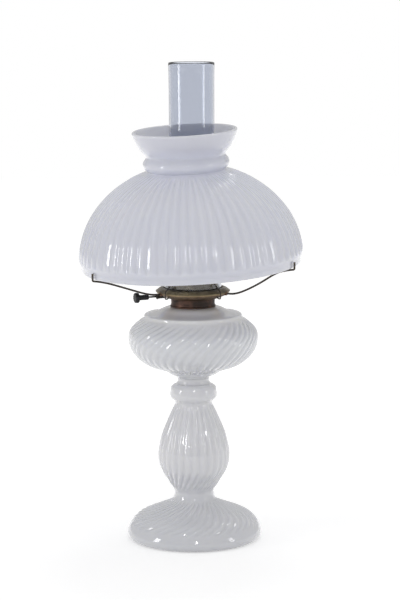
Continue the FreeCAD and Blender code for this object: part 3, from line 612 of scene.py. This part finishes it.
# The burner's body is spun from brass sheet: a cup that hangs in the collar, a threaded skirt
# round it, and a shallow bowl above with a rolled rim. It has aged to a pinkish brown.
bowl_outline = [
    (4.95, 269.3), (17.0, 269.3), (17.8, 270.1), (17.8, 284.6), (18.6, 285.3), (25.8, 285.4), (30.2, 286.2),
    (35.4, 288.4), (39.0, 290.4), (41.2, 292.0), (41.7, 292.15), (42.3, 292.0), (42.4, 291.5), (40.8, 289.9),
    (37.9, 288.1), (33.6, 286.1), (30.0, 284.9), (27.2, 284.3), (26.5, 284.27), (22.4, 284.3), (22.05, 284.1),
    (22.05, 278.5), (18.9, 278.5), (18.9, 269.6), (17.6, 268.3), (4.95, 268.3),
]
bowl_brass = old_metal(
    "pinkish brown brass", (0.19, 0.14, 0.10), (0.38, 0.28, 0.19), (0.6, 0.46, 0.26), 0.34, 0.5, 60
)
bowl = smoothed(turned("burner_bowl", bowl_outline + bowl_outline[:1], 112))
bowl.data.materials.append(bowl_brass)
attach(bowl, "burner")
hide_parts("burner_body")


# The gallery is a dished brass plate on the bowl's rim. Its well holds the chimney's foot,
# and the cone inside the chimney is spun from thinner sheet.
gallery_outline = [
    (18.75, 291.55), (33.9, 291.55), (35.2, 292.3), (35.2, 295.8), (36.4, 296.1), (38.8, 294.9), (41.6, 292.9),
    (42.3, 292.3), (42.9, 292.25), (43.3, 292.6), (43.2, 293.1), (42.3, 293.6), (40.4, 295.2), (38.2, 296.5),
    (35.8, 297.1), (34.5, 297.0), (34.2, 296.3), (34.2, 293.2), (33.6, 292.5), (18.75, 292.5),
]
cone_outline = [
    (28.6, 292.56), (29.4, 292.56), (29.4, 301.4), (29.3, 303.4), (28.3, 305.6), (25.4, 308.4), (21.6, 310.8),
    (19.2, 311.5), (18.3, 311.3), (18.4, 310.7), (20.9, 309.9), (24.6, 307.7), (27.6, 304.9), (28.5, 303.0),
    (28.6, 301.2),
]
aged_brass = old_metal(
    "aged olive brass", (0.14, 0.112, 0.07), (0.25, 0.205, 0.125), (0.5, 0.41, 0.24), 0.26, 0.4, 60
)
gallery = smoothed(turned("gallery", gallery_outline + gallery_outline[:1], 96))
cone = smoothed(turned("spun_cone", cone_outline + cone_outline[:1], 96))
for piece, node in ((gallery, "chimney_gallery"), (cone, "burner_cone")):
    piece.data.materials.append(aged_brass)
    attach(piece, "burner")
    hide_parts(node)


# Four springs of dark wire hook into the bowl's side, pass round the gallery's edge and lean in
# to grip the chimney, with their tips bent away.
spring_path = [
    (37.0, 291.05), (38.6, 289.5), (40.2, 287.9), (41.2, 287.2), (42.6, 287.2), (43.8, 287.2), (44.5, 287.6),
    (44.6, 289.0), (44.6, 292.0), (44.6, 294.2), (43.9, 295.6), (40.0, 299.1), (35.2, 303.3), (34.25, 304.5),
    (34.2, 306.0), (34.3, 307.8), (35.2, 309.6), (36.7, 311.9),
]
spring_azimuths = (45, 135, 225, 315)
spring_wire = 0.75
dark_wire = old_metal(
    "dark spring wire", (0.014, 0.011, 0.01), (0.035, 0.028, 0.023), (0.09, 0.07, 0.05), 0.42, 0.6, 300, 0.3
)


def bent_wire(name, route, azimuth, radius):
    """Round wire along a smooth line through a route of distance from the axis and height."""
    bpy.ops.object.select_all(action="DESELECT")
    bpy.ops.curve.primitive_nurbs_path_add(location=(0, 0, 0))
    wire = bpy.context.object
    wire.name = name
    wire.data.splines.clear()
    spline = wire.data.splines.new("NURBS")
    spline.points.add(len(route) - 1)
    angle = math.radians(azimuth)
    for knot, (away, height) in zip(spline.points, route):
        knot.co = (away * mm * math.cos(angle), away * mm * math.sin(angle), height * mm, 1)
    spline.order_u = 3
    spline.use_endpoint_u = True
    spline.resolution_u = 4
    wire.data.twist_mode = "MINIMUM"
    wire.data.bevel_depth = radius * mm
    wire.data.bevel_resolution = 3
    wire.data.use_fill_caps = True
    bpy.ops.object.convert(target="MESH")
    bpy.ops.object.mode_set(mode="EDIT")
    bpy.ops.mesh.select_all(action="SELECT")
    bpy.ops.mesh.remove_doubles(threshold=0.005 * mm)
    bpy.ops.mesh.normals_make_consistent(inside=False)
    bpy.ops.object.mode_set(mode="OBJECT")
    bpy.ops.object.shade_smooth_by_angle(angle=math.radians(50))
    return wire


for number, azimuth in enumerate(spring_azimuths):
    spring = bent_wire("spring_" + str(number + 1), spring_path, azimuth, spring_wire)
    spring.data.materials.append(dark_wire)
    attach(spring, "burner")
    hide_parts("chimney_spring_" + str(number + 1))


# Three arms of thicker wire carry the shade. Each is gripped by a short brass tube in the
# bowl's rim, sags outwards, rises to the shade's rim and ends in an upright hook.
arm_wire = 1.15
hook_height = 8.6
hook_half_width = 0.55
arm_azimuths = {"left": -150, "right": -26, "rear": 90}
tube_outline = [(1.25, 37.4), (2.2, 37.4), (2.3, 37.6), (2.3, 43.4), (2.15, 43.7), (1.25, 43.7)]
lug_height = 291.6


def laid_over(piece, azimuth, height):
    """Tips a piece that was turned upright until its top points away from the lamp, level."""
    turn = Matrix.Rotation(math.radians(azimuth), 4, "Z") @ Matrix.Rotation(math.radians(90), 4, "Y")
    piece.matrix_world = Matrix.Translation((0, 0, height * mm)) @ turn
    take_up(piece)
    bpy.ops.object.transform_apply(location=True, rotation=True, scale=True)
    return piece


for side, azimuth in arm_azimuths.items():
    low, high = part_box("shade_arm_" + side)
    angle = math.radians(azimuth)
    highest = high.z / mm
    corner = highest - hook_height
    rise = corner - lug_height
    reach = max(abs(low.x), abs(high.x), abs(low.y), abs(high.y)) / mm
    if side != "rear":
        reach = (max(abs(low.x), abs(high.x)) / mm - hook_half_width) / abs(math.cos(angle))
    hook = reach - arm_wire
    route = [
        (38.5, lug_height), (46.0, lug_height), (53.0, lug_height + 0.1), (64.0, lug_height + rise * 0.11),
        (84.0, lug_height + rise * 0.42), (hook - 22.0, corner - 4.4), (hook - 10.0, corner - 1.5),
        (hook - 3.2, corner - 0.3), (hook - 0.1, corner), (hook, corner + 2.6), (hook, corner + 5.4), (hook, highest),
    ]
    arm = bent_wire("arm_" + side, route, azimuth, arm_wire)
    arm.data.materials.append(dark_wire)
    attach(arm, "burner")
    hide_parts("shade_arm_" + side)

    tube = turned("arm_tube_" + side, tube_outline + tube_outline[:1], 28)
    tube = smoothed(laid_over(tube, azimuth, lug_height))
    tube.data.materials.append(copper_brown)
    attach(tube, "burner")
    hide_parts("arm_lug_" + side)


# The switch: a steel shaft runs out of the lampholder through a brass bushing in the bowl,
# and carries a black moulded knob with a slim barrel and a fluted head.
switch_azimuth = -157.5
shaft_height = 288.4
knob_flutes = 12
flutes_from = 67.4
flutes_to = 72.2
flute_depth = 0.5
knob_outline = [
    (0, 66.3), (0.9, 66.2), (1.05, 65.4), (1.05, 56.0), (1.6, 55.4), (2.7, 55.4), (3.0, 55.8), (3.0, 59.0),
    (3.0, 62.6), (3.0, 65.8), (3.2, 67.0), (4.6, 67.3), (5.5, 67.6), (5.8, 68.3), (5.8, 69.8), (5.8, 71.2),
    (5.5, 72.0), (4.6, 72.3), (2.4, 72.1), (0, 72.0),
]
bushing_outline = [
    (1.06, 31.0), (2.3, 31.0), (2.4, 31.2), (2.4, 43.8), (3.1, 43.9), (3.3, 44.2), (3.3, 44.8), (3.1, 45.05),
    (1.06, 45.05),
]
shaft_outline = [(0, 3.0), (0.9, 3.0), (1.0, 3.2), (1.0, 40), (1.0, 54), (1.0, 65.8), (0.9, 66.0), (0, 66.0)]

black_moulding = bpy.data.materials.new("black moulding")
black_moulding.use_nodes = True
nodes, links = black_moulding.node_tree.nodes, black_moulding.node_tree.links
haze = use_group(nodes, cloudy_patches, {"Patches per Metre": 260, "Specks per Metre": 4000, "Patch Edge": 0.55})
moulding = nodes["Principled BSDF"]
links.new(
    blend_colours(nodes, links, haze.outputs["Patches"], (0.008, 0.008, 0.009), (0.02, 0.0195, 0.019)),
    moulding.inputs["Base Color"],
)
links.new(blend_values(nodes, links, haze.outputs["Patches"], 0.4, 0.6), moulding.inputs["Roughness"])
moulding.inputs["Specular IOR Level"].default_value = 0.35
links.new(bump_from(nodes, links, haze.outputs["Specks"], 0.02 * mm), moulding.inputs["Normal"])

knob = turned("switch_knob_head", knob_outline, knob_flutes * rib_columns)
press_ribs(knob, knob_flutes, flutes_from, flutes_to, flute_depth)
smoothed(laid_over(knob, switch_azimuth, shaft_height))
knob.data.materials.append(black_moulding)
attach(knob, "switch")
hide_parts("switch_knob")

shaft = smoothed(laid_over(turned("shaft", shaft_outline, 24), switch_azimuth, shaft_height))
shaft.data.materials.append(dark_wire)
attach(shaft, "switch")
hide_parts("switch_shaft")

sleeve = turned("shaft_sleeve", bushing_outline + bushing_outline[:1], 32)
sleeve = smoothed(laid_over(sleeve, switch_azimuth, shaft_height))
sleeve.data.materials.append(dark_wire)
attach(sleeve, "burner")
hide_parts("shaft_bushing")


# A cord would leave through this bushing of black moulding, level in the back of the bowl. Its
# flange stands outside, and its rounded mouth would spare the cord.
outlet_azimuth = 112.5
outlet_height = 287.6
outlet_outline = [
    (2.4, 31.0), (3.0, 31.0), (3.2, 31.3), (3.2, 43.8), (3.8, 43.9), (4.0, 44.2), (4.0, 44.7), (3.7, 45.05),
    (2.8, 45.05), (2.4, 44.7),
]
grommet = turned("cord_grommet", outlet_outline + outlet_outline[:1], 32)
grommet = smoothed(laid_over(grommet, outlet_azimuth, outlet_height))
grommet.data.materials.append(black_moulding)
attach(grommet, "burner")
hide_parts("cord_bushing")


# Inside the cone stands the lampholder: a brass cap and shell round a black body, on a threaded
# nipple and nut under the cup.
holder_cap_outline = [
    (4.9, 269.42), (15.4, 269.42), (16.8, 270.1), (17.0, 271.0), (17.0, 280.9), (17.0, 281.38), (16.4, 281.38),
    (16.3, 280.9), (16.3, 271.2), (15.6, 270.2), (4.9, 270.1),
]
holder_shell_outline = [
    (15.5, 275.45), (16.1, 275.45), (16.2, 275.8), (16.2, 303.0), (16.2, 304.0), (15.9, 304.6), (15.9, 305.4),
    (16.2, 306.0), (16.2, 312.9), (16.2, 313.6), (15.7, 313.7), (15.5, 313.2), (15.5, 306), (15.5, 300), (15.5, 276),
]
holder_cap = smoothed(turned("holder_cap", holder_cap_outline + holder_cap_outline[:1], 64))
holder_shell = smoothed(turned("holder_shell", holder_shell_outline + holder_shell_outline[:1], 64))
for piece, node in ((holder_cap, "socket_cap"), (holder_shell, "socket_shell")):
    piece.data.materials.append(aged_brass)
    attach(piece, "burner")
    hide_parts(node)
for name in ("mounting_nipple", "nipple_nut", "screw_shell", "centre_contact"):
    carried_over(name, aged_brass)
carried_over("socket_body", black_moulding)


# The bulb is a tube of clear glass with a tungsten wire on a glass stem. Its brass screw cap is
# thin sheet with the thread rolled in, drawn here as four rings.
thread_rings = 4
thread_start = 300.2
thread_pitch = 3.3
bulb_wall = 0.8
bulb_cap_outline = [(0, 294.5), (3.6, 294.5), (4.6, 294.9), (5.6, 295.6), (9.0, 297.1), (11.6, 298.3), (12.6, 299.6)]
for ring in range(thread_rings):
    low = thread_start + thread_pitch * ring
    bulb_cap_outline += [(12.35, low), (12.5, low + 0.8), (13.1, low + 1.6), (12.6, low + 2.4)]
bulb_cap_outline += [
    (12.8, 313.8), (13.1, 315.2), (13.1, 316.2), (12.8, 316.2), (12.75, 313.1), (6, 313.1), (0, 313.1),
]
bulb_outline = [
    (12.7, 313.4), (12.7, 316.4), (13.1, 320), (14.2, 327), (15.3, 333.6), (15.9, 339.5), (16, 346), (16, 360),
    (16, 374), (16, 381.2), (15.4, 386.4), (13.4, 391.4), (9.6, 395.2), (5.0, 397.0), (0, 397.25),
]
bulb_cap = smoothed(turned("bulb_screw_cap", bulb_cap_outline, 64))
bulb_cap.data.materials.append(aged_brass)
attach(bulb_cap, "bulb")
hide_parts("bulb_cap")


def clear_glass(name, tint, roughness):
    """Clear glass with the faint ripples of its drawing."""
    material = bpy.data.materials.new(name)
    material.use_nodes = True
    nodes, links = material.node_tree.nodes, material.node_tree.links
    glass = nodes["Principled BSDF"]
    glass.inputs["Base Color"].default_value = (*tint, 1)
    glass.inputs["Transmission Weight"].default_value = 1
    glass.inputs["IOR"].default_value = 1.48
    ripples = use_group(nodes, cloudy_patches, {"Patches per Metre": 22, "Specks per Metre": 120, "Patch Edge": 0.5})
    polish = blend_values(nodes, links, ripples.outputs["Patches"], roughness, roughness * 2.2)
    links.new(polish, glass.inputs["Roughness"])
    links.new(bump_from(nodes, links, ripples.outputs["Specks"], 0.06 * mm), glass.inputs["Normal"])
    return material


bulb_glass = clear_glass("bulb glass", (0.97, 0.975, 0.97), 0.02)
bulb = smoothed(walled(turned("bulb_tube", bulb_outline, 64), bulb_wall))
bulb.data.materials.append(bulb_glass)
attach(bulb, "bulb")
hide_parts("bulb_glass")
carried_over("bulb_stem", bulb_glass)
tungsten = old_metal("tungsten wire", (0.2, 0.2, 0.2), (0.36, 0.36, 0.37), (0.45, 0.45, 0.46), 0.35, 0.5, 300)
carried_over("filament", tungsten)


# The chimney is blown from clear glass: a wide foot that the springs grip, a shoulder drawn in,
# and a long straight tube with a slightly flared, fire-polished top.
chimney_outline = [
    (33.3, 292.8), (33.3, 296), (33.3, 304), (33.3, 313), (33.1, 318), (32.4, 323.6), (31.2, 329.2), (29.6, 336),
    (28.1, 343), (27.0, 350), (26.3, 357), (26.0, 366.6), (25.95, 390), (25.9, 430), (25.95, 480), (26.05, 520),
    (26.1, 538), (26.3, 546), (26.5, 552), (26.6, 555.6),
]
chimney_wall = 1.9
chimney = smoothed(walled(turned("chimney_glass", chimney_outline, 96), chimney_wall))
# The chimney glass is tinted a deep grey-blue, which its clear glass does not have. This is painted shade, standing
# for the dimmer surroundings seen in and through the chimney.
chimney.data.materials.append(clear_glass("chimney glass", (0.665, 0.69, 0.75), 0.015))
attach(chimney, "chimney")
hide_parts("chimney")


# The shade is blown from opal glass in a ribbed mould: a plain rim that stands in the arms' hooks,
# an upright ribbed dome, a round bead and a flared crown. It leans a little left and forward.
dome_radius = 129.7
dome_widest = 8
dome_rise = 110.5
dome_heights = (
    15.6, 19.6, 24, 28.8, 33.8, 39, 44.4, 50, 55.6, 61.2, 66.8, 72.4, 77.6, 82.6, 87.4, 91.8, 95.8,
    99.2, 102.2, 104.9, 107.4,
)
shade_outline = [(124.4, 0.3), (126.6, 0.6), (127.2, 2.4), (127.0, 5.2), (127.6, 7.4), (128.7, 9.8), (129.4, 12.4)]
for height in dome_heights:
    shade_outline.append((dome_radius * math.sqrt(1 - ((height - dome_widest) / dome_rise) ** 2), height))
shade_outline += [
    (52.2, 109.2), (48.4, 110.6), (46.1, 111.6), (46.0, 112.6), (47.6, 114.0), (49.0, 116.2), (49.7, 119),
    (49.6, 121.4), (48.6, 123.6), (46.8, 125.6), (45.5, 127.4), (45.7, 129.2), (47.4, 131.6), (49.9, 134.2),
    (52.1, 137.2), (54.2, 140.6), (56.5, 145), (58.7, 150), (60.3, 155), (60.7, 157.2),
]
shade_ribs = 64
shade_rib_low = 14.4
shade_rib_high = 108.6
shade_rib_depth = 1.1
shade_wall = 3.0
shade_centre = (-1.3, 0, 322.1)
shade_lean_left = 2.6
shade_lean_front = 2.7
# The shade's glass turns darker and greyer towards the crown, between 446 and 462 mm, as painted shade on the crown.
body_milk = (0.76, 0.78, 0.945)
crown_milk_painted_shade = (0.66, 0.665, 0.75)

shade = turned("shade_glass", shade_outline, shade_ribs * rib_columns)
press_ribs(shade, shade_ribs, shade_rib_low, shade_rib_high, shade_rib_depth)
smoothed(walled(shade, shade_wall))
lean_left = Matrix.Rotation(math.radians(-shade_lean_left), 4, "Y")
lean_front = Matrix.Rotation(math.radians(shade_lean_front), 4, "X")
shade.matrix_world = Matrix.Translation(Vector(shade_centre) * mm) @ (lean_left @ lean_front)
take_up(shade)
bpy.ops.object.transform_apply(location=True, rotation=True, scale=True)
shade.data.materials.append(
    opal_glass("opal glass of shade", body_milk, crown_milk_painted_shade, 446, 462, milkiness=0.95, depth=12.0)
)
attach(shade, "shade")
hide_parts("shade")
